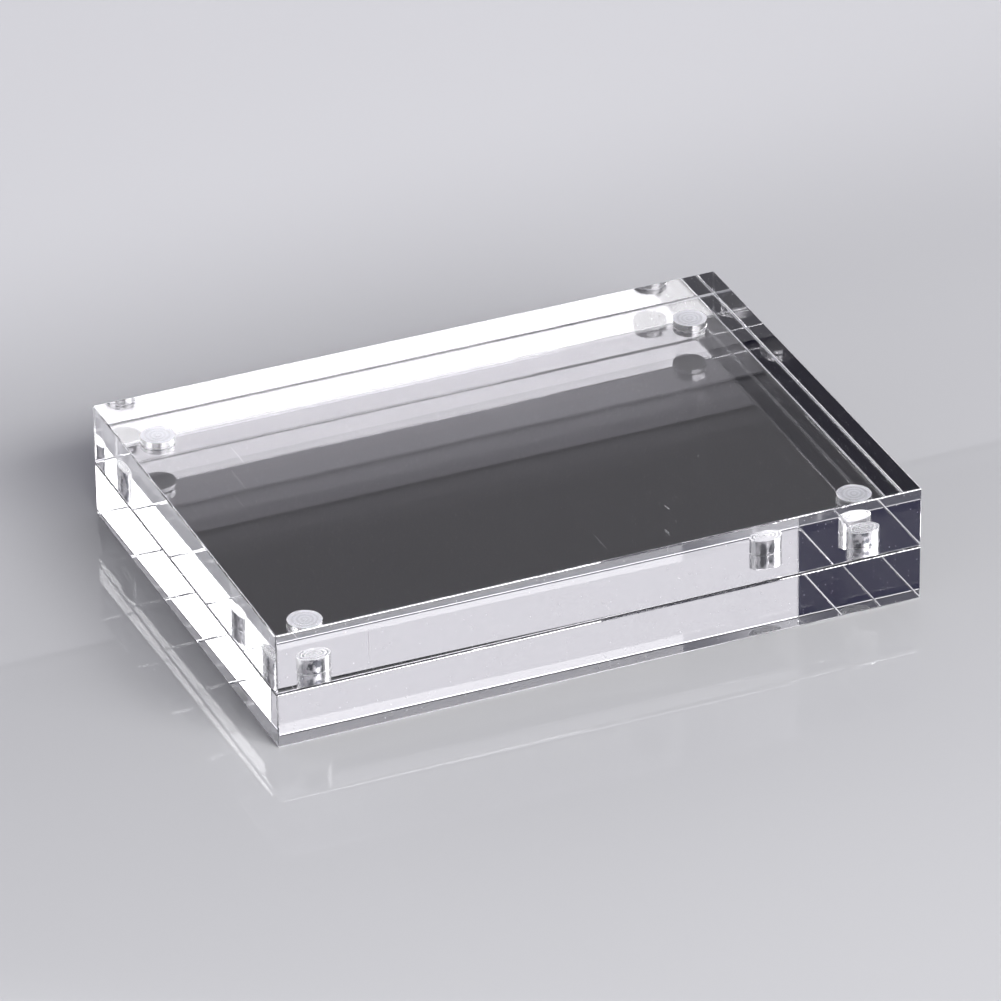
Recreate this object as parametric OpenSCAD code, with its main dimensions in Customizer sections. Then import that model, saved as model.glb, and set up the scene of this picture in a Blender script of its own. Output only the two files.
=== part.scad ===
// Clear acrylic photo frame: two thick polished blocks that hold a print between them.
// Eight disc magnets, four glued into each block's mating face, pull the blocks together.
// The frame lies on its back block, with the front block on top. Lengths are in millimetres.
// The origin is the middle of the back block's outer face, +X along the long side,
// +Y along the short side, towards the top edge of the standing frame, and +Z out of the front.

/* [Blocks] */
// Long side of both blocks
block_w = 178; // [110:1:300]
// Short side of both blocks
block_h = 128; // [80:1:250]
// Thickness of the front block
front_block_t = 16.9; // [10:0.1:30]
// Thickness of the back block
back_block_t = 15.3; // [8:0.1:30]
// Bevel that breaks every sharp edge of the blocks
edge_bevel = 0.4; // [0.1:0.05:1]

/* [Magnets] */
// Diameter of every magnet
magnet_d = 9; // [5:0.5:12]
// Thickness of the magnets in the front block
front_magnet_t = 4.5; // [2:0.5:7]
// Thickness of the magnets in the back block
back_magnet_t = 3; // [2:0.5:6]
// Bevel on both rims of a magnet
magnet_bevel = 0.25; // [0.1:0.05:0.5]
// From each side of a block to the middle of the magnets along it
magnet_inset = 13; // [9:0.5:25]
// Height by which a magnet stands out of its block's mating face
magnet_proud = 0.2; // [0.05:0.05:0.5]

/* [Pockets] */
// Gap all round between a magnet and the wall of its pocket
pocket_clearance = 0.05; // [0.02:0.01:0.3]
// Bevel round the mouth of a pocket
mouth_bevel = 0.1; // [0.05:0.05:0.5]
// Thickness of the glue between a magnet and the floor of its pocket
glue_t = 0.1; // [0.05:0.05:0.3]

/* [Hidden] */
// Facets of a full circle
$fn = 96;
// How far a cut runs past the face that it opens
overrun = 1;
// Radius of a magnet, and of the pocket that takes it
magnet_r = magnet_d / 2;
pocket_r = magnet_r + pocket_clearance;
// The magnets meet face to face, which leaves this gap between the blocks
seam_gap = 2 * magnet_proud;
// Heights of the two mating faces, and of the plane where the magnets meet
back_mating_z = back_block_t;
front_mating_z = back_block_t + seam_gap;
meeting_z = back_block_t + magnet_proud;
// Depths of the pockets, measured from the mating face
front_pocket_depth = front_magnet_t + glue_t - magnet_proud;
back_pocket_depth = back_magnet_t + glue_t - magnet_proud;
// Distance of the magnets from the middle of the frame
magnet_x = block_w / 2 - magnet_inset;
magnet_y = block_h / 2 - magnet_inset;
// Corners of the standing frame: the name, then the side along X and along Y
CORNERS = [
    ["bottom_left", -1, -1],
    ["bottom_right", 1, -1],
    ["top_left", -1, 1],
    ["top_right", 1, 1]
];

// Puts its children on the magnet axis of one corner, at height z.
module at_corner(c, z) {
    translate([c[1] * magnet_x, c[2] * magnet_y, z]) children();
}

// Rectangle about the origin with its four corners cut off.
module bevelled_rectangle(w, h, bevel) {
    polygon([
        [-w / 2 + bevel, -h / 2], [w / 2 - bevel, -h / 2],
        [w / 2, -h / 2 + bevel], [w / 2, h / 2 - bevel],
        [w / 2 - bevel, h / 2], [-w / 2 + bevel, h / 2],
        [-w / 2, h / 2 - bevel], [-w / 2, -h / 2 + bevel]
    ]);
}

// Block of thickness t that stands on Z = 0, with all twelve edges bevelled.
module plain_block(t) {
    intersection() {
        linear_extrude(height = t)
            bevelled_rectangle(block_w, block_h, edge_bevel);
        translate([0, 0, t / 2]) rotate([90, 0, 0])
            linear_extrude(height = block_h, center = true)
                bevelled_rectangle(block_w, t, edge_bevel);
        translate([0, 0, t / 2]) rotate([90, 0, 90])
            linear_extrude(height = block_w, center = true)
                bevelled_rectangle(block_h, t, edge_bevel);
    }
}

// Blind pocket that opens at Z = 0 and runs up to depth, with a bevelled mouth.
module pocket(depth) {
    translate([0, 0, -overrun])
        cylinder(h = depth + overrun, r = pocket_r);
    rotate_extrude() polygon([
        [0, -overrun],
        [pocket_r + mouth_bevel + overrun, -overrun],
        [pocket_r, mouth_bevel],
        [0, mouth_bevel]
    ]);
}

// Disc magnet of thickness t that stands on Z = 0, with both rims bevelled.
module disc_magnet(t) {
    rotate_extrude() polygon([
        [0, 0],
        [magnet_r - magnet_bevel, 0],
        [magnet_r, magnet_bevel],
        [magnet_r, t - magnet_bevel],
        [magnet_r - magnet_bevel, t],
        [0, t]
    ]);
}

// Film of glue between a magnet's flat end and the floor of its pocket.
module glue_film() {
    cylinder(h = glue_t, r = magnet_r - magnet_bevel);
}

module front_block() {
    color([0.90, 0.92, 0.96, 0.45])
        difference() {
            translate([0, 0, front_mating_z]) plain_block(front_block_t);
            for (c = CORNERS)
                at_corner(c, front_mating_z) pocket(front_pocket_depth);
        }
}

module back_block() {
    color([0.86, 0.88, 0.93, 0.45])
        difference() {
            plain_block(back_block_t);
            for (c = CORNERS)
                at_corner(c, back_mating_z) mirror([0, 0, 1]) pocket(back_pocket_depth);
        }
}

module front_magnet(c) {
    color([0.82, 0.82, 0.84])
        at_corner(c, meeting_z) disc_magnet(front_magnet_t);
}

module back_magnet(c) {
    color([0.74, 0.74, 0.77])
        at_corner(c, meeting_z - back_magnet_t) disc_magnet(back_magnet_t);
}

module front_glue(c) {
    color([0.88, 0.88, 0.90])
        at_corner(c, meeting_z + front_magnet_t) glue_film();
}

module back_glue(c) {
    color([0.88, 0.88, 0.90])
        at_corner(c, meeting_z - back_magnet_t - glue_t) glue_film();
}

back_block();
front_block();
for (c = CORNERS) {
    back_magnet(c);
    front_magnet(c);
    back_glue(c);
    front_glue(c);
}
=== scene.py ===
"""Finished look of a clear acrylic magnetic photo frame, laid out as an add-on and run as a script.

Two polished blocks lie on each other, drawn together by four disc magnets in each of them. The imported
frame gives their places and sizes. All lengths are in metres, +Z up.
"""

import math

import bmesh
import bpy
from bpy.props import FloatProperty, FloatVectorProperty, IntProperty, PointerProperty
from mathutils import Matrix, Vector


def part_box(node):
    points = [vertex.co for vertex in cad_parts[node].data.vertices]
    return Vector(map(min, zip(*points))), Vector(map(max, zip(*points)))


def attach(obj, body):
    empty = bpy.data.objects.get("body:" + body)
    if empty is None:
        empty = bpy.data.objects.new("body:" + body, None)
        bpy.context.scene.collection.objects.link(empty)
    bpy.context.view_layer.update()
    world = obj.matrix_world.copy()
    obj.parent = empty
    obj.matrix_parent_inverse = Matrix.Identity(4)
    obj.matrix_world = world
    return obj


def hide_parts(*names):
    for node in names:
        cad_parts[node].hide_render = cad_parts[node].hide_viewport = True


bl_info = {
    "name": "Acrylic Magnetic Photo Frame",
    "version": (1, 0, 0),
    "blender": (4, 5, 0),
    "location": "3D View > Sidebar > Photo Frame",
    "description": "Makes the blocks, magnets and glue films of a clear photo frame, and a studio for it",
    "category": "Add Mesh",
}

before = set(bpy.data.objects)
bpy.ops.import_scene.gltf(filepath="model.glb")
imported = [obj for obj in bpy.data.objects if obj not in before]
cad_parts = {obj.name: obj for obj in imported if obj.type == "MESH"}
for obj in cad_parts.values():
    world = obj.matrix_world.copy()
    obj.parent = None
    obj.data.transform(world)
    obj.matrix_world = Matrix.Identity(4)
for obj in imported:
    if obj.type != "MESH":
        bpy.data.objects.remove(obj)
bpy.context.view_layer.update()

MM = 0.001
# Least part of a face's normal along an axis for the face to count as facing that way
FACING = 0.7
CORNERS = ("bottom_left", "bottom_right", "top_left", "top_right")
FULL_TURN = 2 * math.pi


class FrameSizes(bpy.types.PropertyGroup):
    """Small sizes of the blocks, pockets, magnets and glue that the frame's boxes don't give."""

    edge_radius: FloatProperty(
        name="Edge Radius", description="Radius that softens every edge of the blocks",
        default=0.4 * MM, min=0.05 * MM, max=2 * MM, precision=5, unit="LENGTH")
    edge_steps: IntProperty(
        name="Edge Steps", description="Facets on each half of a rounded edge",
        default=3, min=1, max=8)
    pocket_clearance: FloatProperty(
        name="Pocket Clearance", description="Gap all round between a magnet and its pocket",
        default=0.05 * MM, min=0.01 * MM, max=0.3 * MM, precision=5, unit="LENGTH")
    mouth_bevel: FloatProperty(
        name="Mouth Bevel", description="Bevel round the mouth of a pocket",
        default=0.1 * MM, min=0.02 * MM, max=0.5 * MM, precision=5, unit="LENGTH")
    rim_radius: FloatProperty(
        name="Rim Radius", description="Radius of both rims of a magnet",
        default=0.25 * MM, min=0.05 * MM, max=0.6 * MM, precision=5, unit="LENGTH")
    rim_steps: IntProperty(
        name="Rim Steps", description="Facets round a magnet's rim, from its face to its side",
        default=5, min=1, max=12)
    turn_steps: IntProperty(
        name="Turn Steps", description="Facets round every turned shape",
        default=96, min=24, max=256)
    cutter_groove_pitch: FloatProperty(
        name="Groove Pitch", description="Spacing of the rings that the cutter left on a pocket's floor",
        default=1.1 * MM, min=0.2 * MM, max=3 * MM, precision=5, unit="LENGTH")
    cutter_groove_depth: FloatProperty(
        name="Groove Depth", description="Depth of the rings that the cutter left on a pocket's floor",
        default=0.03 * MM, min=0, max=0.05 * MM, precision=6, unit="LENGTH")
    glue_skin: FloatProperty(
        name="Glue Skin", description="How far a glue film stays off the magnet and the pocket's floor",
        default=0.015 * MM, min=0.005 * MM, max=0.04 * MM, precision=6, unit="LENGTH")
    glue_bulge: FloatProperty(
        name="Glue Bulge", description="How far the rim of a glue film swells past its flat faces",
        default=0.12 * MM, min=0, max=0.25 * MM, precision=5, unit="LENGTH")


class FrameFinish(bpy.types.PropertyGroup):
    """Colours and finishes of the acrylic, the nickel and the glue."""

    acrylic_colour: FloatVectorProperty(
        name="Acrylic", description="Tint that light takes at each surface of the acrylic",
        default=(0.985, 0.979, 0.998), min=0, max=1, size=3, subtype="COLOR")
    milled_colour: FloatVectorProperty(
        name="Milled Acrylic", description="Tint of the frosted walls and floors of the pockets",
        default=(0.98, 0.975, 0.985), min=0, max=1, size=3, subtype="COLOR")
    nickel_colour: FloatVectorProperty(
        name="Nickel", description="Colour of the magnets' nickel plating",
        default=(0.86, 0.85, 0.87), min=0, max=1, size=3, subtype="COLOR")
    # Painted reflection: the dark blotches on the magnets' side stand in for dark surroundings seen in the
    # nickel.
    nickel_painted_dark_colour: FloatVectorProperty(
        name="Painted Dark Nickel", description="Colour of the plating where it is dull",
        default=(0.14, 0.145, 0.17), min=0, max=1, size=3, subtype="COLOR")
    glue_colour: FloatVectorProperty(
        name="Glue", description="Tint of the cured glue",
        default=(0.95, 0.96, 0.975), min=0, max=1, size=3, subtype="COLOR")
    scratches: FloatProperty(
        name="Scratches", description="How strongly hairline scratches dull the acrylic",
        default=0.35, min=0, max=1, subtype="FACTOR")
    dust: FloatProperty(
        name="Dust", description="How strongly specks of dust dull the acrylic",
        default=0.5, min=0, max=1, subtype="FACTOR")


class StudioSetup(bpy.types.PropertyGroup):
    """Floor, lights and camera."""

    floor_colour: FloatVectorProperty(
        name="Floor", description="Colour of the plain pale floor",
        default=(0.62, 0.62, 0.63), min=0, max=1, size=3, subtype="COLOR")
    floor_radius: FloatProperty(
        name="Floor Radius", description="Radius of the floor",
        default=4.0, min=1, max=10, unit="LENGTH")
    floor_gap: FloatProperty(
        name="Floor Gap", description="Air under the back block's face",
        default=0.05 * MM, min=0.01 * MM, max=0.5 * MM, precision=5, unit="LENGTH")
    horizon_colour: FloatVectorProperty(
        name="Horizon", description="Colour of the studio's walls",
        default=(1.5, 1.5, 1.53), min=0, max=5, size=3, subtype="COLOR")
    horizon_in_gloss: FloatProperty(
        name="Horizon in Gloss", description="Share of the walls' brightness that glossy reflections show",
        default=0.65, min=0, max=1, subtype="FACTOR")
    ceiling_colour: FloatVectorProperty(
        name="Ceiling", description="Colour of the studio above its walls",
        default=(0.03, 0.029, 0.072), min=0, max=1, size=3, subtype="COLOR")
    key_brightness: FloatProperty(
        name="Key", description="Brightness of the softbox at the front right",
        default=5.0, min=0, max=50)
    side_brightness: FloatProperty(
        name="Side", description="Brightness of the softbox at the right",
        default=6.5, min=0, max=50)
    overhead_brightness: FloatProperty(
        name="Overhead", description="Brightness of the softbox over the back",
        default=5.4, min=0, max=50)
    floor_brightness: FloatProperty(
        name="Floor Light", description="Brightness of the softbox in front that lights only the floor",
        default=9.0, min=0, max=100)
    panel_colour: FloatVectorProperty(
        name="Panel", description="Colour of the panel at the back right",
        default=(0.955, 0.945, 1.0), min=0, max=1, size=3, subtype="COLOR")
    panel_foot: FloatProperty(
        name="Panel Foot", description="Brightness of the panel at the back right, near its foot",
        default=2.5, min=0, max=5)
    panel_middle: FloatProperty(
        name="Panel Middle", description="Brightness of the panel at the back right, under its joint",
        default=0.74, min=0, max=5)
    panel_rail: FloatProperty(
        name="Panel Rail", description="Brightness of the panel at the back right, just above its joint",
        default=0.34, min=0, max=5)
    panel_top: FloatProperty(
        name="Panel Top", description="Brightness of the panel at the back right, above its rail",
        default=0.24, min=0, max=5)
    camera_azimuth: FloatProperty(
        name="Camera Azimuth", description="Angle of the camera round the frame, from its front",
        default=math.radians(-22.84), subtype="ANGLE")
    camera_elevation: FloatProperty(
        name="Camera Elevation", description="Angle of the camera above the floor",
        default=math.radians(30.11), subtype="ANGLE")
    camera_roll: FloatProperty(
        name="Camera Roll", description="Turn of the camera about its own line of sight",
        default=math.radians(-0.76), subtype="ANGLE")
    camera_distance: FloatProperty(
        name="Camera Distance", description="Distance of the camera from its target",
        default=2.103, min=0.3, unit="LENGTH")
    camera_target: FloatVectorProperty(
        name="Camera Target", description="Point that the camera looks at",
        default=(0.10 * MM, 2.37 * MM, 15.22 * MM), size=3, subtype="TRANSLATION")
    camera_lens: FloatProperty(
        name="Camera Lens", description="Focal length of the camera, in millimetres",
        default=291.6, min=20)


class PhotoFrameSettings(bpy.types.PropertyGroup):
    """Everything that a user of the panel would change."""

    sizes: PointerProperty(type=FrameSizes)
    finish: PointerProperty(type=FrameFinish)
    studio: PointerProperty(type=StudioSetup)


# Node trees

class TreeWriter:
    """Adds nodes to a tree and links them. A value is a number, a colour, or an output to link."""

    def __init__(self, tree):
        self.tree = tree
        self.tree.nodes.clear()

    def socket(self, name, kind, output=False, default=None):
        """Adds an input or output to the tree's own interface."""
        made = self.tree.interface.new_socket(
            name=name, in_out="OUTPUT" if output else "INPUT", socket_type="NodeSocket" + kind)
        if default is not None:
            made.default_value = default

    def node(self, kind, inputs=None, **settings):
        """Adds a node, sets its properties, then feeds its inputs, given by name or by place."""
        made = self.tree.nodes.new(kind)
        for name, value in settings.items():
            setattr(made, name, value)
        for key, value in (inputs or {}).items():
            self.feed(made.inputs[key], value)
        return made

    def feed(self, socket, value):
        """Links an output to a socket, or sets the socket's own value."""
        if isinstance(value, bpy.types.NodeSocket):
            self.tree.links.new(value, socket)
        else:
            socket.default_value = value

    def math(self, operation, *values, clamp=False):
        """Output of a Math node."""
        kind = "ShaderNodeMath"
        return self.node(kind, dict(enumerate(values)), operation=operation, use_clamp=clamp).outputs[0]

    def vector(self, operation, *values):
        """Output of a Vector Math node. A scale goes to the input of that name."""
        inputs = dict(enumerate(values))
        if operation == "SCALE":
            inputs = {0: values[0], "Scale": values[1]}
        made = self.node("ShaderNodeVectorMath", inputs, operation=operation)
        return made.outputs["Value" if operation in ("LENGTH", "DISTANCE", "DOT_PRODUCT") else "Vector"]


def corner_set_tree():
    """Geometry Nodes tree that sets four turned copies of a shape round the middle, one at each corner."""
    tree = bpy.data.node_groups.new("Corner Set", "GeometryNodeTree")
    write = TreeWriter(tree)
    write.socket("Geometry", "Geometry")
    write.socket("Spacing X", "Float", default=0.1)
    write.socket("Spacing Y", "Float", default=0.1)
    write.socket("Height", "Float", default=0.0)
    write.socket("Seed", "Int", default=1)
    write.socket("Material", "Material")
    write.socket("Geometry", "Geometry", output=True)
    given = write.node("NodeGroupInput").outputs
    grid = write.node("GeometryNodeMeshGrid", {
        "Size X": given["Spacing X"], "Size Y": given["Spacing Y"], "Vertices X": 2, "Vertices Y": 2})
    raised = write.node("GeometryNodeTransform", {
        "Geometry": grid.outputs["Mesh"],
        "Translation": write.node("ShaderNodeCombineXYZ", {"Z": given["Height"]}).outputs[0]})
    turn = write.node("FunctionNodeRandomValue", {"Seed": given["Seed"]}, data_type="FLOAT")
    highest = [s for s in turn.inputs if s.name == "Max" and s.enabled][0]
    highest.default_value = FULL_TURN
    angle = [s for s in turn.outputs if s.enabled][0]
    copies = write.node("GeometryNodeInstanceOnPoints", {
        "Points": raised.outputs["Geometry"], "Instance": given["Geometry"],
        "Rotation": write.node("ShaderNodeCombineXYZ", {"Z": angle}).outputs[0]})
    real = write.node("GeometryNodeRealizeInstances", {"Geometry": copies.outputs["Instances"]})
    finished = write.node("GeometryNodeSetMaterial", {
        "Geometry": real.outputs["Geometry"], "Material": given["Material"]})
    write.node("NodeGroupOutput", {"Geometry": finished.outputs["Geometry"]})
    return tree


def pocketed_block_tree(corner_set):
    """Geometry Nodes tree that rounds a slab's edges by rule and cuts a pocket at each corner.

    A unit box with a few rows of points along every side is spread out: the outer rows move onto the
    rounded edges, and the rest of each side stays one flat face.
    """
    tree = bpy.data.node_groups.new("Pocketed Block", "GeometryNodeTree")
    write = TreeWriter(tree)
    write.socket("Geometry", "Geometry")
    write.socket("Size", "Vector")
    write.socket("Centre", "Vector")
    write.socket("Edge Radius", "Float", default=0.4 * MM)
    write.socket("Edge Steps", "Int", default=3)
    write.socket("Cutter", "Object")
    write.socket("Spacing X", "Float", default=0.1)
    write.socket("Spacing Y", "Float", default=0.1)
    write.socket("Height", "Float", default=0.0)
    write.socket("Polished", "Material")
    write.socket("Milled", "Material")
    write.socket("Geometry", "Geometry", output=True)
    given = write.node("NodeGroupInput").outputs

    rows = write.math("MULTIPLY_ADD", given["Edge Steps"], 2, 2)
    box = write.node("GeometryNodeMeshCube", {
        "Size": (1, 1, 1), "Vertices X": rows, "Vertices Y": rows, "Vertices Z": rows})
    place = write.node("GeometryNodeInputPosition").outputs[0]
    side = write.vector("SIGN", place)
    rows_from_side = write.vector("SUBTRACT", (0.5, 0.5, 0.5), write.vector("ABSOLUTE", place))
    row_share = write.math("DIVIDE", write.math("SUBTRACT", rows, 1), given["Edge Steps"])
    share = write.vector("SCALE", rows_from_side, row_share)
    lean = write.vector("SCALE", write.vector("SUBTRACT", (1, 1, 1), share), math.pi / 4)
    outward = write.vector("NORMALIZE", write.vector("MULTIPLY", side, write.vector("TANGENT", lean)))
    half = write.vector("SCALE", given["Size"], 0.5)
    radius = write.node("ShaderNodeCombineXYZ", dict.fromkeys("XYZ", given["Edge Radius"])).outputs[0]
    flat = write.vector("MULTIPLY", side, write.vector("SUBTRACT", half, radius))
    rounded = write.vector("ADD", flat, write.vector("SCALE", outward, given["Edge Radius"]))
    slab = write.node("GeometryNodeSetPosition", {
        "Geometry": box.outputs["Mesh"], "Position": write.vector("ADD", rounded, given["Centre"])})

    cutter = write.node("GeometryNodeObjectInfo", {"Object": given["Cutter"]}, transform_space="ORIGINAL")
    cutters = write.node("GeometryNodeGroup", node_tree=corner_set)
    for name, value in {
        "Geometry": cutter.outputs["Geometry"], "Spacing X": given["Spacing X"],
        "Spacing Y": given["Spacing Y"], "Height": given["Height"], "Material": given["Milled"],
    }.items():
        write.feed(cutters.inputs[name], value)
    marked = write.node("GeometryNodeStoreNamedAttribute", {
        "Geometry": cutters.outputs["Geometry"], "Name": "milled", "Value": True,
    }, data_type="BOOLEAN", domain="FACE")
    cut = write.node("GeometryNodeMeshBoolean", {
        "Mesh 1": slab.outputs["Geometry"], "Mesh 2": marked.outputs["Geometry"],
    }, operation="DIFFERENCE", solver="EXACT")
    real = write.node("GeometryNodeRealizeInstances", {"Geometry": cut.outputs["Mesh"]})
    polished = write.node("GeometryNodeSetMaterial", {
        "Geometry": real.outputs["Geometry"], "Material": given["Polished"]})
    in_pockets = write.node("GeometryNodeInputNamedAttribute", {"Name": "milled"}, data_type="BOOLEAN")
    finished = write.node("GeometryNodeSetMaterial", {
        "Geometry": polished.outputs["Geometry"], "Selection": in_pockets.outputs["Attribute"],
        "Material": given["Milled"]})
    write.node("NodeGroupOutput", {"Geometry": finished.outputs["Geometry"]})
    return tree


def drop_empty_slot(mesh):
    """Takes out the empty first material slot that a tree's result starts with."""
    if mesh.materials and mesh.materials[0] is None:
        places = [max(face.material_index - 1, 0) for face in mesh.polygons]
        mesh.materials.pop(index=0)
        mesh.polygons.foreach_set("material_index", places)


def made_by_tree(name, mesh, tree, values):
    """New object whose plain mesh is what the tree makes of the mesh, with the named inputs given."""
    piece = bpy.data.objects.new(name, mesh)
    bpy.context.scene.collection.objects.link(piece)
    modifier = piece.modifiers.new(tree.name, "NODES")
    modifier.node_group = tree
    identifiers = {
        item.name: item.identifier for item in tree.interface.items_tree
        if item.item_type == "SOCKET" and item.in_out == "INPUT"}
    for key, value in values.items():
        modifier[identifiers[key]] = value
    bpy.context.view_layer.update()
    depsgraph = bpy.context.evaluated_depsgraph_get()
    plain = bpy.data.meshes.new_from_object(
        piece.evaluated_get(depsgraph), preserve_all_data_layers=True, depsgraph=depsgraph)
    plain.name = name
    drop_empty_slot(plain)
    piece.modifiers.clear()
    piece.data = plain
    if not plain.polygons:
        raise RuntimeError(f"{name} came out empty")
    return piece


# Turned shapes

def arc(radius, height, size, start, end, steps):
    """Points of an arc in the profile plane, without its first point. Angles are in degrees from +radius."""
    return [
        (radius + size * math.cos(math.radians(start + (end - start) * i / steps)),
         height + size * math.sin(math.radians(start + (end - start) * i / steps)))
        for i in range(1, steps + 1)]


def lathe(name, profile, steps, smooth_under=35):
    """Closed mesh turned from (radius, height) points that start on the axis below and end on it above.

    Edges that turn by less than smooth_under, in degrees, are shaded smooth.
    """
    made = bmesh.new()
    rings = []
    for radius, height in profile:
        if radius <= 0:
            rings.append([made.verts.new((0, 0, height))])
            continue
        rings.append([
            made.verts.new((radius * math.cos(FULL_TURN * i / steps),
                            radius * math.sin(FULL_TURN * i / steps), height))
            for i in range(steps)])
    for low, high in zip(rings, rings[1:]):
        for i in range(steps):
            j = (i + 1) % steps
            corners = [low[i % len(low)], low[j % len(low)], high[j % len(high)], high[i % len(high)]]
            made.faces.new(list(dict.fromkeys(corners)))
    bmesh.ops.recalc_face_normals(made, faces=made.faces)
    for face in made.faces:
        face.smooth = True
    for edge in made.edges:
        edge.smooth = edge.calc_face_angle(math.pi) < math.radians(smooth_under)
    mesh = bpy.data.meshes.new(name)
    made.to_mesh(mesh)
    made.free()
    return mesh


def magnet_profile(radius, height, rim, steps):
    """Flat faces and a straight side, joined by rounded rims."""
    return (
        [(0, 0), (radius - rim, 0)] + arc(radius - rim, rim, rim, -90, 0, steps)
        + [(radius, height - rim)] + arc(radius - rim, height - rim, rim, 0, 90, steps) + [(0, height)])


def glue_profile(radius, height, bulge, steps):
    """Thin flat film whose rim swells outwards, as squeezed-out glue does."""
    half = height / 2
    swell = [
        (radius + bulge * math.cos(math.radians(angle)), half + half * math.sin(math.radians(angle)))
        for angle in [-90 + 180 * i / steps for i in range(1, steps)]]
    return [(0, 0), (radius, 0)] + swell + [(radius, height), (0, height)]


def pocket_profile(radius, depth, bevel, overrun, groove_pitch, groove_depth):
    """Cutter of a blind pocket that opens at height 0: a bevelled mouth, a wall and a grooved floor."""
    ring_count = int(radius / groove_pitch)
    grooves = []
    for ring in range(ring_count, 0, -1):
        outer = ring * groove_pitch
        grooves += [(outer, depth), (outer - groove_pitch / 2, depth - groove_depth)]
    return (
        [(0, -overrun), (radius + bevel + overrun, -overrun), (radius, bevel), (radius, depth)]
        + grooves + [(0, depth)])


# Materials

def shader_group(name, inputs, outputs):
    """Empty shader node group with float inputs and outputs, its writer and its input sockets."""
    tree = bpy.data.node_groups.new(name, "ShaderNodeTree")
    write = TreeWriter(tree)
    for key, default in inputs.items():
        write.socket(key, "Float", default=default)
    for key in outputs:
        write.socket(key, "Float", output=True)
    return tree, write, write.node("NodeGroupInput").outputs


def flat_coordinates(write):
    """Two coordinates in the plane of the face, in metres, as a vector with no third one."""
    coordinates = write.node("ShaderNodeTexCoord")
    place = write.node("ShaderNodeSeparateXYZ", {0: coordinates.outputs["Object"]}).outputs
    facing = write.node("ShaderNodeSeparateXYZ", {0: coordinates.outputs["Normal"]}).outputs
    level = write.math("GREATER_THAN", write.math("ABSOLUTE", facing["Z"]), FACING)
    ends = write.math("GREATER_THAN", write.math("ABSOLUTE", facing["X"]), FACING)
    across = write.node("ShaderNodeMix", {0: ends, 2: place["X"], 3: place["Y"]}).outputs[0]
    up = write.node("ShaderNodeMix", {0: level, 2: place["Z"], 3: place["Y"]}).outputs[0]
    return write.node("ShaderNodeCombineXYZ", {"X": across, "Y": up}).outputs[0]


def level_faces(write):
    """Mask of the faces that lie level."""
    facing = write.node("ShaderNodeSeparateXYZ", {
        0: write.node("ShaderNodeTexCoord").outputs["Normal"]}).outputs["Z"]
    return write.math("GREATER_THAN", write.math("ABSOLUTE", facing), FACING)


def scratches_group():
    """Mask of short hairline scratches over flat faces. They run close to the second coordinate."""
    tree, write, given = shader_group(
        "Hairline Scratches", {"Spacing": 14 * MM, "Width": 0.014, "Share Kept": 0.05}, ["Mask"])
    place = write.vector("SCALE", flat_coordinates(write), write.math("DIVIDE", 1, given["Spacing"]))
    stretch, squeeze, turns = 24, 6, (12, 68, 131)
    masks = []
    for turn in turns:
        laid = write.node("ShaderNodeMapping", {
            "Vector": place, "Rotation": (0, 0, math.radians(turn)), "Scale": (1, 1 / stretch, 1),
            "Location": (turn / 10, turn / 7, 0)})
        thin = write.vector("MULTIPLY", laid.outputs[0], (1, squeeze, 1))
        cells = write.node("ShaderNodeTexVoronoi", {"Vector": thin, "Scale": 1.0}, voronoi_dimensions="2D")
        line = write.math("LESS_THAN", cells.outputs["Distance"], given["Width"])
        tone = write.node("ShaderNodeSeparateColor", {0: cells.outputs["Color"]}).outputs[0]
        masks.append(write.math("MULTIPLY", line, write.math("LESS_THAN", tone, given["Share Kept"])))
    write.node("NodeGroupOutput", {
        "Mask": write.math("MAXIMUM", write.math("MAXIMUM", masks[0], masks[1]), masks[2])})
    return tree


def dust_group():
    """Mask of tiny round specks, of mixed sizes, over flat faces."""
    tree, write, given = shader_group("Dust", {"Spacing": 2 * MM, "Largest": 0.05}, ["Mask"])
    place = write.vector("SCALE", flat_coordinates(write), write.math("DIVIDE", 1, given["Spacing"]))
    cells = write.node("ShaderNodeTexVoronoi", {"Vector": place, "Scale": 1.0}, voronoi_dimensions="2D")
    tone = write.node("ShaderNodeSeparateColor", {0: cells.outputs["Color"]}).outputs[0]
    rarity_of_large = 3
    size = write.math("MULTIPLY", write.math("POWER", tone, rarity_of_large), given["Largest"])
    write.node("NodeGroupOutput", {"Mask": write.math("LESS_THAN", cells.outputs["Distance"], size)})
    return tree


def turned_rings_group(magnet_x, magnet_y):
    """Rings round the nearest magnet axis, as a cutter leaves them, and the radius from that axis."""
    tree, write, given = shader_group(
        "Turned Rings", {"Pitch": 0.5 * MM, "Waver": 0.1}, ["Height", "Radius"])
    place = write.node("ShaderNodeTexCoord").outputs["Object"]
    folded = write.vector("SUBTRACT", write.vector("ABSOLUTE", place), (magnet_x, magnet_y, 0))
    radius = write.vector("LENGTH", write.vector("MULTIPLY", folded, (1, 1, 0)))
    noise = write.node("ShaderNodeTexNoise", {"Vector": place, "Scale": 400.0, "Detail": 2.0})
    wavering = write.math("MULTIPLY", write.math("SUBTRACT", noise.outputs[0], 0.5), given["Waver"])
    turns = write.math("ADD", write.math("DIVIDE", radius, given["Pitch"]), wavering)
    wave = write.math("SINE", write.math("MULTIPLY", turns, FULL_TURN))
    write.node("NodeGroupOutput", {
        "Height": write.math("MULTIPLY_ADD", wave, 0.5, 0.5), "Radius": radius})
    return tree


def new_material(name):
    """Material with a Principled BSDF on its output, and a writer for the rest."""
    material = bpy.data.materials.new(name)
    material.use_nodes = True
    write = TreeWriter(material.node_tree)
    shader = write.node("ShaderNodeBsdfPrincipled")
    write.node("ShaderNodeOutputMaterial", {"Surface": shader.outputs[0]})
    return material, write, shader


def set_values(shader, values):
    """Sets constant values on the shader's own sockets."""
    for name, value in values.items():
        shader.inputs[name].default_value = value


def colour(value):
    """Colour of a property with full alpha."""
    return (*value, 1.0)


ACRYLIC_IOR = 1.49


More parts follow.
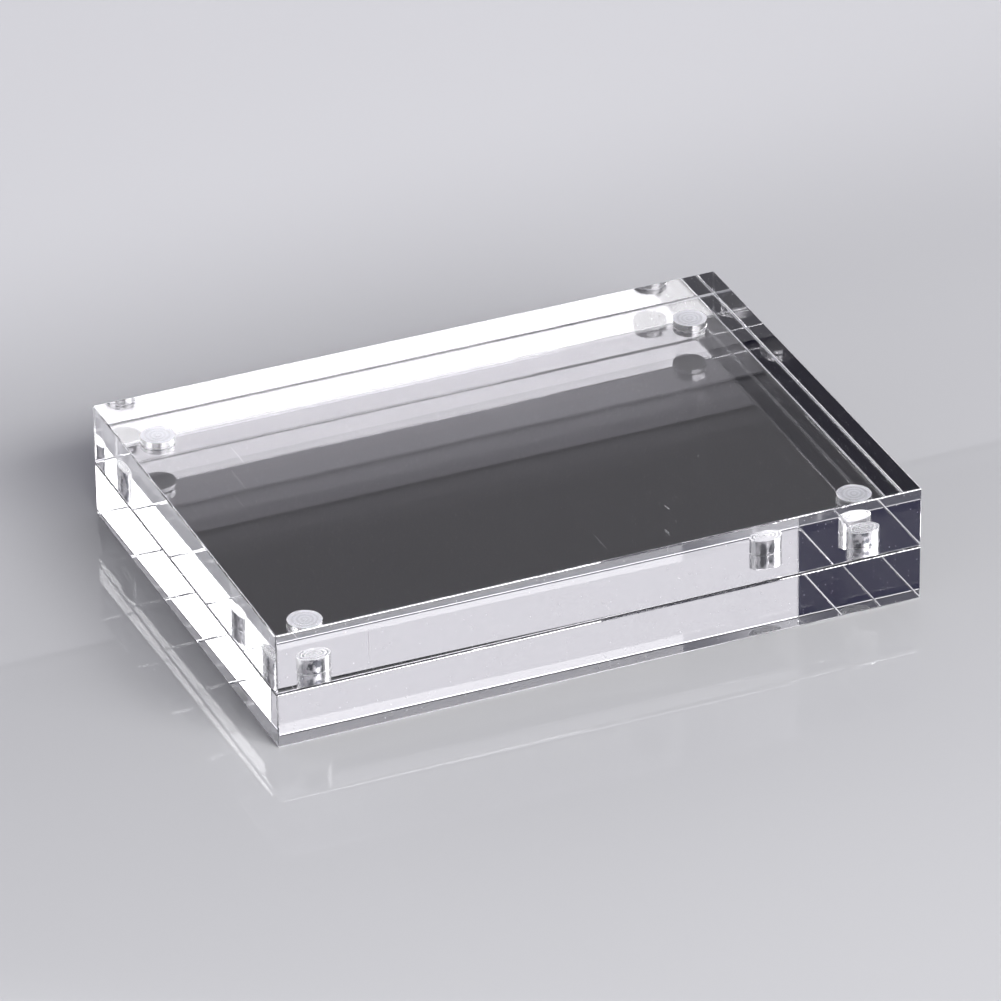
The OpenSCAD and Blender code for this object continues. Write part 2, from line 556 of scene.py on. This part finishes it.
def polished_acrylic(finish, scratches, dust):
    """Clear polished acrylic with a few hairline scratches and specks of dust."""
    material, write, shader = new_material("Polished Acrylic")
    set_values(shader, {"Transmission Weight": 1.0, "IOR": ACRYLIC_IOR})
    lines = write.node("ShaderNodeGroup", node_tree=scratches).outputs["Mask"]
    specks = write.node("ShaderNodeGroup", node_tree=dust).outputs["Mask"]
    dulled_lines = write.math("MULTIPLY", lines, finish.scratches)
    dulled_specks = write.math("MULTIPLY", specks, finish.dust)
    marks = write.math("MAXIMUM", dulled_lines, dulled_specks)
    tint = write.node("ShaderNodeMix", {
        0: marks, 6: colour(finish.acrylic_colour), 7: (1, 1, 1, 1)}, data_type="RGBA")
    write.feed(shader.inputs["Base Color"], tint.outputs[2])
    write.feed(shader.inputs["Roughness"], marks)
    bump = write.node("ShaderNodeBump", {"Height": lines, "Strength": 0.4, "Distance": 0.01 * MM})
    write.feed(shader.inputs["Normal"], bump.outputs[0])
    return material


def milled_acrylic(finish, rings):
    """Frosted acrylic of the pockets, with the cutter's rings on the floors. Inside the rim the rings are
    darkened with painted shade, and the rim keeps its full colour as a painted highlight.
    """
    material, write, shader = new_material("Milled Acrylic")
    set_values(shader, {
        "Transmission Weight": 1.0, "IOR": ACRYLIC_IOR, "Specular Tint": colour(finish.milled_colour)})
    marks = write.node("ShaderNodeGroup", {"Pitch": 1.15 * MM, "Waver": 0.3}, node_tree=rings)
    place = write.node("ShaderNodeTexCoord").outputs["Object"]
    grain = write.node("ShaderNodeTexNoise", {"Vector": place, "Scale": 2500.0, "Detail": 3.0})
    floor = level_faces(write)
    floor_rough = write.node("ShaderNodeMapRange", {
        "Value": marks.outputs["Height"], "To Min": 0.3, "To Max": 0.5}).outputs[0]
    wall_rough = 0.25
    write.feed(shader.inputs["Roughness"], write.node("ShaderNodeMix", {
        0: floor, 2: wall_rough, 3: floor_rough}).outputs[0])
    # Painted shade: inside this radius the floor's colour darkens in the cutter's rings, and the rim outside
    # it keeps its full colour as a painted highlight.
    ring_shaded_radius = 3.75 * MM
    rim = write.math("GREATER_THAN", marks.outputs["Radius"], ring_shaded_radius)
    shade = write.node("ShaderNodeMapRange", {
        "Value": marks.outputs["Height"], "To Min": 0.74, "To Max": 1.0}).outputs[0]
    ring_shaded_floor = write.math("MULTIPLY", floor, write.math("SUBTRACT", 1, rim))
    tone = write.node("ShaderNodeMix", {0: ring_shaded_floor, 2: 1.0, 3: shade}).outputs[0]
    write.feed(shader.inputs["Base Color"], write.vector("SCALE", tuple(finish.milled_colour), tone))
    grain_share = 0.4
    height = write.math("MULTIPLY_ADD", grain.outputs[0], grain_share, marks.outputs["Height"])
    bump = write.node("ShaderNodeBump", {"Height": height, "Strength": 1.0, "Distance": 0.035 * MM})
    write.feed(shader.inputs["Normal"], bump.outputs[0])
    return material


def nickel_plating(finish, rings):
    """Satin nickel plating: faint turned rings on the faces, and streaks and dark blotches on the side; the
    blotches are a painted reflection of dark surroundings.
    """
    material, write, shader = new_material("Nickel Plating")
    set_values(shader, {"Metallic": 1.0})
    place = write.node("ShaderNodeTexCoord").outputs["Object"]
    upright_stretch = (1, 1, 0.06)
    streaks = write.node("ShaderNodeTexNoise", {
        "Vector": write.vector("MULTIPLY", place, upright_stretch), "Scale": 2200.0, "Detail": 3.0})
    patches = write.node("ShaderNodeTexNoise", {"Vector": place, "Scale": 500.0, "Detail": 3.0})
    marks = write.node("ShaderNodeGroup", {"Pitch": 0.8 * MM, "Waver": 0.2}, node_tree=rings)
    # Painted reflection: dark blotches on the side, in place of dark surroundings reflected in the nickel.
    painted_dark_blotches = write.node("ShaderNodeMapRange", {
        "Value": patches.outputs[0], "From Min": 0.44, "From Max": 0.56}).outputs[0]
    side = write.math("SUBTRACT", 1, level_faces(write))
    tint = write.node("ShaderNodeMix", {
        0: write.math("MULTIPLY", painted_dark_blotches, side), 6: colour(finish.nickel_colour),
        7: colour(finish.nickel_painted_dark_colour)}, data_type="RGBA")
    write.feed(shader.inputs["Base Color"], tint.outputs[2])
    rough = write.node("ShaderNodeMapRange", {
        "Value": streaks.outputs[0], "From Min": 0.35, "From Max": 0.65, "To Min": 0.38, "To Max": 0.55})
    write.feed(shader.inputs["Roughness"], rough.outputs[0])
    ring_share = 0.5
    height = write.math("MULTIPLY_ADD", marks.outputs["Height"], ring_share, streaks.outputs[0])
    bump = write.node("ShaderNodeBump", {"Height": height, "Strength": 0.8, "Distance": 0.02 * MM})
    write.feed(shader.inputs["Normal"], bump.outputs[0])
    return material


def cured_glue(finish):
    """Clear cured glue with a slightly uneven skin."""
    material, write, shader = new_material("Cured Glue")
    set_values(shader, {"Transmission Weight": 1.0, "IOR": 1.46})
    place = write.node("ShaderNodeTexCoord").outputs["Object"]
    patches = write.node("ShaderNodeTexNoise", {"Vector": place, "Scale": 900.0, "Detail": 3.0})
    rough = write.node("ShaderNodeMapRange", {
        "Value": patches.outputs[0], "From Min": 0.35, "From Max": 0.65, "To Min": 0.05, "To Max": 0.25})
    write.feed(shader.inputs["Roughness"], rough.outputs[0])
    write.feed(shader.inputs["Base Color"], colour(finish.glue_colour))
    bump = write.node("ShaderNodeBump", {
        "Height": patches.outputs[0], "Strength": 0.5, "Distance": 0.02 * MM})
    write.feed(shader.inputs["Normal"], bump.outputs[0])
    return material


def floor_material(studio):
    """Plain pale floor, polished round the frame and satin away from it."""
    material, write, shader = new_material("Pale Floor")
    place = write.node("ShaderNodeTexCoord").outputs["Object"]
    cloud = write.node("ShaderNodeTexNoise", {"Vector": place, "Scale": 3.0, "Detail": 2.0})
    tone = write.node("ShaderNodeMapRange", {
        "Value": cloud.outputs[0], "To Min": 0.985, "To Max": 1.015}).outputs[0]
    shade = write.vector("SCALE", tuple(studio.floor_colour), tone)
    write.feed(shader.inputs["Base Color"], shade)
    polished_radius, satin_radius = 0.15, 0.4
    polished, satin = 0.02, 0.25
    rough = write.node("ShaderNodeMapRange", {
        "Value": write.vector("LENGTH", place), "From Min": polished_radius, "From Max": satin_radius,
        "To Min": polished, "To Max": satin}, interpolation_type="SMOOTHSTEP")
    write.feed(shader.inputs["Roughness"], rough.outputs[0])
    set_values(shader, {"IOR": 1.5})
    return material


# Places of the parts, read from the frame

def corner_spacing():
    """Distances between the magnet axes, along X and along Y."""
    low_left, low_right, top_left = (
        (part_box(f"front_magnet_{c}")[0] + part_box(f"front_magnet_{c}")[1]) / 2 for c in CORNERS[:3])
    return low_right.x - low_left.x, top_left.y - low_left.y


def magnet_box(half):
    """Radius, lowest height and thickness of one half's magnets."""
    low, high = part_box(f"{half}_magnet_{CORNERS[0]}")
    return (high.x - low.x) / 2, low.z, high.z - low.z


def declare(piece, half, nodes):
    """Rides a finished piece on its half of the frame, in place of the nodes that it stands for."""
    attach(piece, f"{half}_half")
    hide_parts(*nodes)


def shared(name, make, *values):
    """The node tree or material of that name, made the first time that it is asked for."""
    found = bpy.data.node_groups.get(name) or bpy.data.materials.get(name)
    return found or make(*values)


def rings_group():
    """The turned rings' group, round this frame's magnet axes."""
    spacing_x, spacing_y = corner_spacing()
    return shared("Turned Rings", turned_rings_group, spacing_x / 2, spacing_y / 2)


class PHOTOFRAME_OT_blocks(bpy.types.Operator):
    """Make both clear blocks, with rounded edges and four milled pockets each"""

    bl_idname = "photo_frame.make_blocks"
    bl_label = "Make Blocks"
    bl_options = {"REGISTER", "UNDO"}

    def execute(self, context):
        settings = context.scene.photo_frame
        sizes = settings.sizes
        polished = shared(
            "Polished Acrylic", polished_acrylic, settings.finish,
            shared("Hairline Scratches", scratches_group), shared("Dust", dust_group))
        milled = shared("Milled Acrylic", milled_acrylic, settings.finish, rings_group())
        corner_set = shared("Corner Set", corner_set_tree)
        tree = shared("Pocketed Block", pocketed_block_tree, corner_set)
        spacing_x, spacing_y = corner_spacing()
        for half, opens_down in (("front", True), ("back", False)):
            low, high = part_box(f"{half}_block")
            radius = magnet_box(half)[0]
            glue_low, glue_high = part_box(f"{half}_glue_{CORNERS[0]}")
            mouth = low.z if opens_down else high.z
            depth = glue_high.z - mouth if opens_down else mouth - glue_low.z
            overrun = 1 * MM
            profile = pocket_profile(
                radius + sizes.pocket_clearance, depth, sizes.mouth_bevel, overrun,
                sizes.cutter_groove_pitch, sizes.cutter_groove_depth)
            cutter_mesh = lathe(f"{half}_pocket_cutter", profile, sizes.turn_steps)
            if not opens_down:
                cutter_mesh.transform(Matrix.Rotation(math.pi, 4, "X"))
            cutter = bpy.data.objects.new(cutter_mesh.name, cutter_mesh)
            context.scene.collection.objects.link(cutter)
            piece = made_by_tree(f"{half}_block_acrylic", bpy.data.meshes.new("slab"), tree, {
                "Size": high - low, "Centre": (high + low) / 2,
                "Edge Radius": sizes.edge_radius, "Edge Steps": sizes.edge_steps,
                "Cutter": cutter, "Spacing X": spacing_x, "Spacing Y": spacing_y, "Height": mouth,
                "Polished": polished, "Milled": milled})
            bpy.data.objects.remove(cutter)
            declare(piece, half, [f"{half}_block"])
        return {"FINISHED"}


class PHOTOFRAME_OT_magnets(bpy.types.Operator):
    """Make the four disc magnets of each half"""

    bl_idname = "photo_frame.make_magnets"
    bl_label = "Make Magnets"
    bl_options = {"REGISTER", "UNDO"}

    def execute(self, context):
        settings = context.scene.photo_frame
        sizes = settings.sizes
        nickel = shared("Nickel Plating", nickel_plating, settings.finish, rings_group())
        tree = shared("Corner Set", corner_set_tree)
        spacing_x, spacing_y = corner_spacing()
        for seed, half in enumerate(("front", "back"), start=1):
            radius, low, height = magnet_box(half)
            profile = magnet_profile(radius, height, sizes.rim_radius, sizes.rim_steps)
            mesh = lathe(f"{half}_disc", profile, sizes.turn_steps)
            piece = made_by_tree(f"{half}_magnets_nickel", mesh, tree, {
                "Spacing X": spacing_x, "Spacing Y": spacing_y, "Height": low,
                "Seed": seed, "Material": nickel})
            declare(piece, half, [f"{half}_magnet_{c}" for c in CORNERS])
        return {"FINISHED"}


class PHOTOFRAME_OT_glue(bpy.types.Operator):
    """Make the film of cured glue between each magnet and the floor of its pocket"""

    bl_idname = "photo_frame.make_glue"
    bl_label = "Make Glue Films"
    bl_options = {"REGISTER", "UNDO"}

    def execute(self, context):
        settings = context.scene.photo_frame
        sizes = settings.sizes
        glue = shared("Cured Glue", cured_glue, settings.finish)
        tree = shared("Corner Set", corner_set_tree)
        spacing_x, spacing_y = corner_spacing()
        for seed, half in enumerate(("front", "back"), start=3):
            low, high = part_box(f"{half}_glue_{CORNERS[0]}")
            radius = (high.x - low.x) / 2 - sizes.glue_bulge
            thickness = high.z - low.z - 2 * sizes.glue_skin
            profile = glue_profile(radius, thickness, sizes.glue_bulge, sizes.rim_steps)
            mesh = lathe(f"{half}_film", profile, sizes.turn_steps)
            piece = made_by_tree(f"{half}_glue_films_cured", mesh, tree, {
                "Spacing X": spacing_x, "Spacing Y": spacing_y, "Height": low.z + sizes.glue_skin,
                "Seed": seed, "Material": glue})
            declare(piece, half, [f"{half}_glue_{c}" for c in CORNERS])
        return {"FINISHED"}


# Studio

def direction(azimuth, elevation):
    """Unit vector from the frame towards a place. Azimuth 0 is in front, and 90 degrees at the right."""
    return Vector((
        math.sin(azimuth) * math.cos(elevation), -math.cos(azimuth) * math.cos(elevation),
        math.sin(elevation)))


def softbox(
        name, brightness, azimuth, elevation, distance, size, on_floor=True, in_gloss=True, in_acrylic=True):
    """Rectangular soft light that faces the frame, with an even brightness over its face.

    It may light the floor, show in glossy reflections, and show in what is seen through the acrylic.
    Angles are in degrees.
    """
    lamp = bpy.data.lights.new(name, "AREA")
    lamp.shape = "RECTANGLE"
    lamp.size, lamp.size_y = size
    lamp.energy = brightness * math.pi * size[0] * size[1]
    box = bpy.data.objects.new(name, lamp)
    bpy.context.scene.collection.objects.link(box)
    towards = direction(math.radians(azimuth), math.radians(elevation))
    box.location = towards * distance
    box.rotation_euler = towards.to_track_quat("Z", "Y").to_euler()
    box.visible_diffuse = on_floor
    box.visible_glossy = in_gloss
    box.visible_transmission = in_acrylic


def make_floor(studio):
    """Round pale floor just under the frame."""
    made = bmesh.new()
    bmesh.ops.create_circle(made, cap_ends=True, radius=studio.floor_radius, segments=96)
    bmesh.ops.translate(made, verts=made.verts, vec=(0, 0, -studio.floor_gap))
    mesh = bpy.data.meshes.new("floor")
    made.to_mesh(mesh)
    made.free()
    floor = bpy.data.objects.new("floor", mesh)
    floor.data.materials.append(floor_material(studio))
    bpy.context.scene.collection.objects.link(floor)


def make_panel(studio):
    """Upright panel at the back right, with a sloping joint between its lower and upper boards.

    It only shows in gloss and through the acrylic. Its lower board is brightest near its foot, and its
    upper board starts with a rail that brightens away from the joint.
    """
    width, height, distance = 0.7, 0.66, 0.75
    azimuth, joint_slope = math.radians(157.16), 0.245
    foot_high, middle_low = 0.25, 0.36
    joint, rail_full, rail_high, above_everything = 0.4403, 0.4435, 0.448, 1.0
    away = direction(azimuth, 0)
    along = Vector((-away.y, away.x, 0))
    made = bmesh.new()
    corners = [
        away * distance + along * (side * width / 2) + Vector((0, 0, level))
        for side, level in ((-1, 0), (1, 0), (1, height), (-1, height))]
    made.faces.new([made.verts.new(c) for c in corners])
    mesh = bpy.data.meshes.new("fading_panel")
    made.to_mesh(mesh)
    made.free()
    material = bpy.data.materials.new("Fading Panel")
    material.use_nodes = True
    write = TreeWriter(material.node_tree)
    tilted = Vector((0, 0, 1)) - along * joint_slope
    level = write.vector("DOT_PRODUCT", write.node("ShaderNodeTexCoord").outputs["Object"], tuple(tilted))
    fading = write.node("ShaderNodeMapRange", {
        "Value": level, "From Min": foot_high, "From Max": middle_low,
        "To Min": studio.panel_foot, "To Max": studio.panel_middle}, interpolation_type="SMOOTHSTEP")
    rail = write.node("ShaderNodeMapRange", {
        "Value": level, "From Min": joint, "From Max": rail_full, "To Min": 0.0, "To Max": studio.panel_rail,
    }, interpolation_type="SMOOTHSTEP")
    boards = (
        (-above_everything, joint, fading.outputs[0]), (joint, rail_high, rail.outputs[0]),
        (rail_high, above_everything, studio.panel_top))
    total = 0.0
    for low, high, brightness in boards:
        inside = write.math(
            "MULTIPLY", write.math("GREATER_THAN", level, low), write.math("LESS_THAN", level, high))
        total = write.math("MULTIPLY_ADD", inside, brightness, total)
    glow = write.node("ShaderNodeEmission", {"Color": colour(studio.panel_colour), "Strength": total})
    write.node("ShaderNodeOutputMaterial", {"Surface": glow.outputs[0]})
    mesh.materials.append(material)
    panel = bpy.data.objects.new("fading_panel", mesh)
    bpy.context.scene.collection.objects.link(panel)
    panel.visible_camera = panel.visible_shadow = panel.visible_diffuse = False


def make_world(studio):
    """Plain studio: pale walls round the horizon, dimmer in gloss, which fade into a dark ceiling."""
    world = bpy.data.worlds.new("Studio")
    bpy.context.scene.world = world
    world.use_nodes = True
    write = TreeWriter(world.node_tree)
    height = write.node("ShaderNodeSeparateXYZ", {
        0: write.node("ShaderNodeTexCoord").outputs["Generated"]}).outputs["Z"]
    walls_end, ceiling_start = 0.3, 0.48
    rise = write.node("ShaderNodeMapRange", {
        "Value": height, "From Min": walls_end, "From Max": ceiling_start}, interpolation_type="SMOOTHSTEP")
    tint = write.node("ShaderNodeMix", {
        0: rise.outputs[0], 6: colour(studio.horizon_colour), 7: colour(studio.ceiling_colour)},
        data_type="RGBA")
    in_gloss = write.node("ShaderNodeLightPath").outputs["Is Glossy Ray"]
    shown = write.math("MULTIPLY_ADD", in_gloss, studio.horizon_in_gloss - 1, 1)
    background = write.node("ShaderNodeBackground", {"Color": tint.outputs[2], "Strength": shown})
    write.node("ShaderNodeOutputWorld", {"Surface": background.outputs[0]})


def make_camera(studio):
    """Camera at the front left, looking down at the frame, with a small roll."""
    lens = bpy.data.cameras.new("camera")
    lens.lens = studio.camera_lens
    lens.sensor_width = 36
    lens.clip_start, lens.clip_end = 0.05, 50
    camera = bpy.data.objects.new("camera", lens)
    bpy.context.scene.collection.objects.link(camera)
    towards = direction(studio.camera_azimuth, studio.camera_elevation)
    place = Vector(studio.camera_target) + towards * studio.camera_distance
    turn = towards.to_track_quat("Z", "Y").to_matrix() @ Matrix.Rotation(studio.camera_roll, 3, "Z")
    camera.matrix_world = Matrix.Translation(place) @ turn.to_4x4()
    bpy.context.scene.camera = camera


class PHOTOFRAME_OT_studio(bpy.types.Operator):
    """Make the floor, the lights and the camera"""

    bl_idname = "photo_frame.make_studio"
    bl_label = "Make Studio"
    bl_options = {"REGISTER", "UNDO"}

    def execute(self, context):
        studio = context.scene.photo_frame.studio
        make_floor(studio)
        make_world(studio)
        make_panel(studio)
        softbox(
            "key_softbox", studio.key_brightness, azimuth=22.84, elevation=30, distance=2.0,
            size=(1.6, 1.2), in_gloss=False)
        softbox(
            "side_softbox", studio.side_brightness, azimuth=85, elevation=30, distance=1.0,
            size=(0.8, 0.6), on_floor=False, in_gloss=False)
        softbox(
            "overhead_softbox", studio.overhead_brightness, azimuth=186, elevation=56, distance=1.0,
            size=(0.9, 0.62), on_floor=False)
        softbox(
            "floor_softbox", studio.floor_brightness, azimuth=5, elevation=38, distance=2.0,
            size=(1.8, 0.5), in_gloss=False, in_acrylic=False)
        make_camera(studio)
        scene = context.scene
        scene.view_settings.view_transform = "Standard"
        scene.cycles.max_bounces = 40
        scene.cycles.transmission_bounces = 32
        scene.cycles.glossy_bounces = 32
        scene.cycles.caustics_reflective = False
        scene.cycles.caustics_refractive = False
        return {"FINISHED"}


class PHOTOFRAME_PT_sidebar(bpy.types.Panel):
    """Sizes, finishes and studio of the photo frame"""

    bl_idname = "PHOTOFRAME_PT_sidebar"
    bl_label = "Photo Frame"
    bl_space_type = "VIEW_3D"
    bl_region_type = "UI"
    bl_category = "Photo Frame"

    def draw(self, context):
        settings = context.scene.photo_frame
        for title, group in (
            ("Sizes", settings.sizes), ("Finish", settings.finish), ("Studio", settings.studio),
        ):
            box = self.layout.box()
            box.label(text=title)
            for name in group.__annotations__:
                box.prop(group, name)
        for operator in OPERATORS:
            self.layout.operator(operator.bl_idname)


OPERATORS = (PHOTOFRAME_OT_blocks, PHOTOFRAME_OT_magnets, PHOTOFRAME_OT_glue, PHOTOFRAME_OT_studio)
CLASSES = (FrameSizes, FrameFinish, StudioSetup, PhotoFrameSettings, *OPERATORS, PHOTOFRAME_PT_sidebar)


def register():
    for cls in CLASSES:
        bpy.utils.register_class(cls)
    bpy.types.Scene.photo_frame = PointerProperty(type=PhotoFrameSettings)


def unregister():
    del bpy.types.Scene.photo_frame
    for cls in reversed(CLASSES):
        bpy.utils.unregister_class(cls)


def main():
    register()
    bpy.ops.photo_frame.make_blocks()
    bpy.ops.photo_frame.make_magnets()
    bpy.ops.photo_frame.make_glue()
    bpy.ops.photo_frame.make_studio()


if __name__ == "__main__":
    main()
